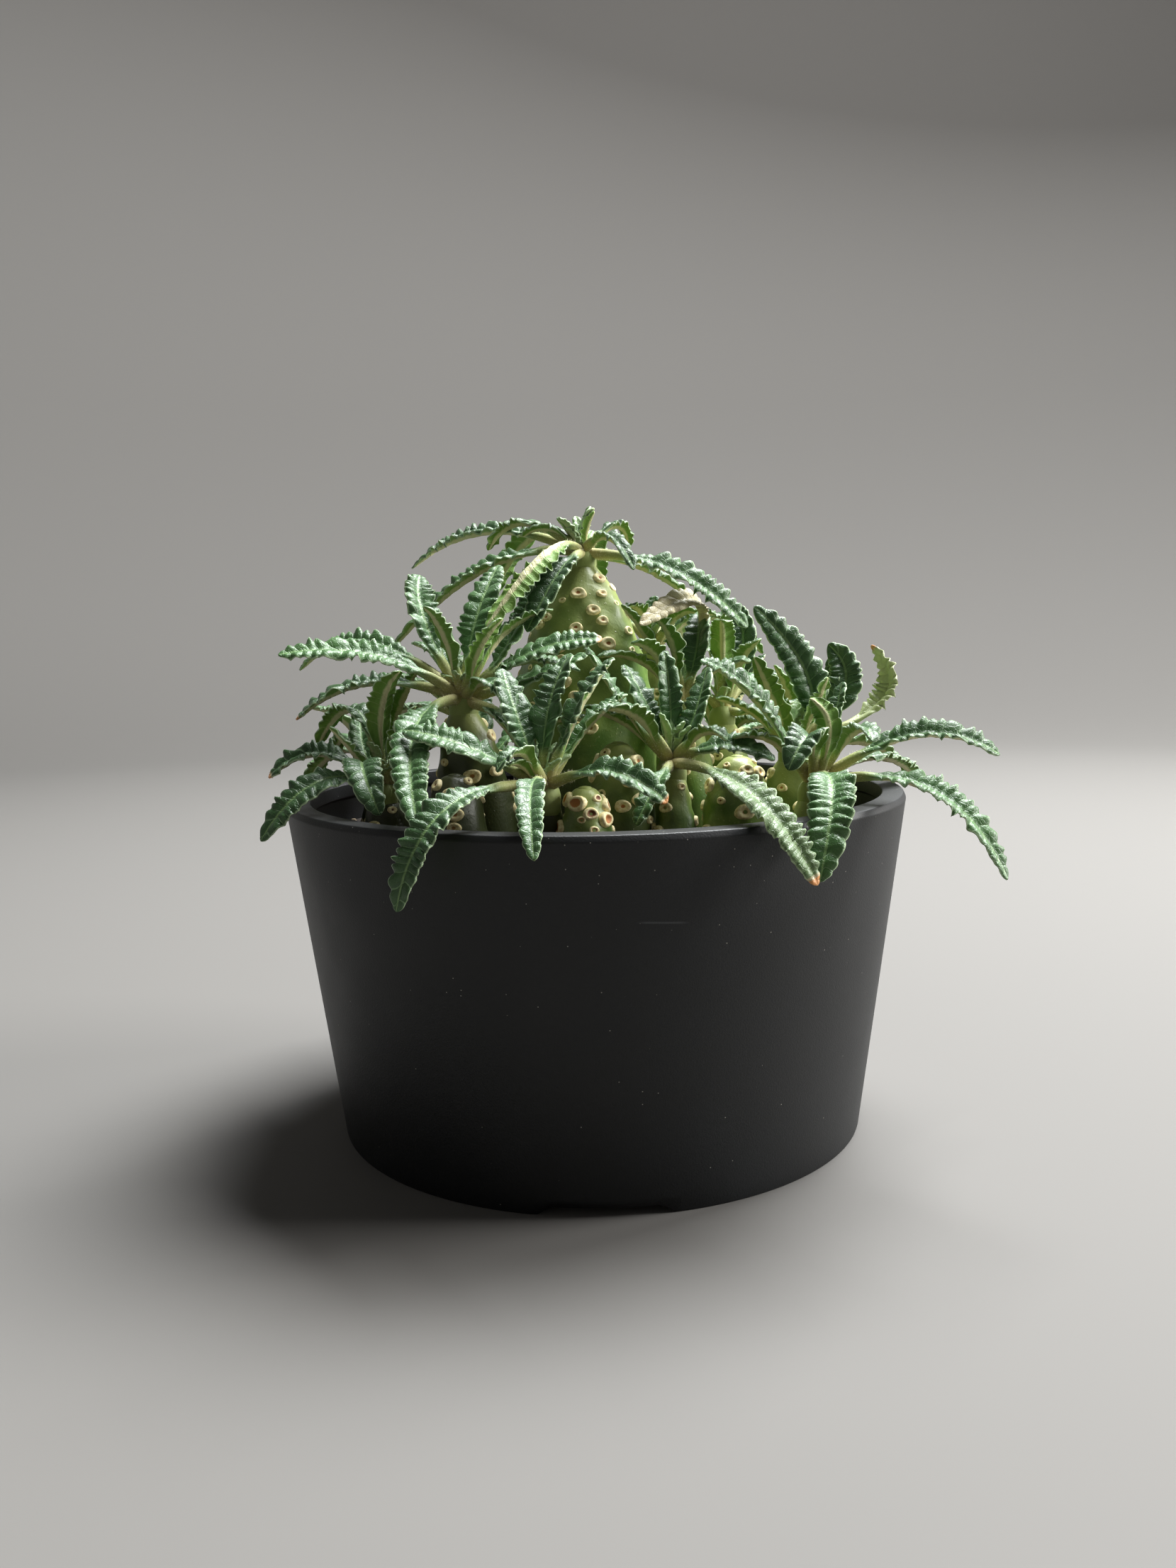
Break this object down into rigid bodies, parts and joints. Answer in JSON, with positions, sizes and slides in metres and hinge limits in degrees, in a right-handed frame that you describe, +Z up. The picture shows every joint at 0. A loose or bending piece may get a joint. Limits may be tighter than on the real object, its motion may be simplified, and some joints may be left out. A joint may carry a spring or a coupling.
{
  "type": "potted dorstenia lavranii",
  "caption": "Branching succulent with thick scarred stems and crowns of long waved leaves, in a round tapered plastic pot.",
  "frame": {"origin": "middle of the footprint of the pot and its plant, on the surface that the pot stands on", "axes": "+Z up; -Y towards the front, where the front domes and the two long hanging leaves are"},
  "size_m": [0.1682, 0.168, 0.1495],
  "materials": {
    "pot_plastic": "satin",
    "soil": "matte",
    "stem_skin": "satin",
    "leaf": "satin"
  },
  "bodies": {
    "root": {"dome_front": "stem_skin", "dome_left": "stem_skin", "dome_low_right": "stem_skin", "dome_middle": "stem_skin", "leaves_back": "leaf", "leaves_back_left": "leaf", "leaves_back_mid": "leaf", "leaves_back_right": "leaf", "leaves_back_top": "leaf", "leaves_far_left": "leaf", "leaves_front_left": "leaf", "leaves_front_right": "leaf", "leaves_left": "leaf", "leaves_right": "leaf", "leaves_right_back": "leaf", "leaves_side_left": "leaf", "leaves_side_right": "leaf", "leaves_top": "leaf", "leaves_upper": "leaf", "pot": "pot_plastic", "soil": "soil", "stem_back": "stem_skin", "stem_back_left": "stem_skin", "stem_back_mid": "stem_skin", "stem_back_right": "stem_skin", "stem_back_top": "stem_skin", "stem_far_left": "stem_skin", "stem_front_left": "stem_skin", "stem_front_right": "stem_skin", "stem_left": "stem_skin", "stem_main": "stem_skin", "stem_right": "stem_skin", "stem_right_back": "stem_skin", "stem_side_left": "stem_skin", "stem_side_right": "stem_skin", "stem_upper": "stem_skin"}
  },
  "joints": []
}
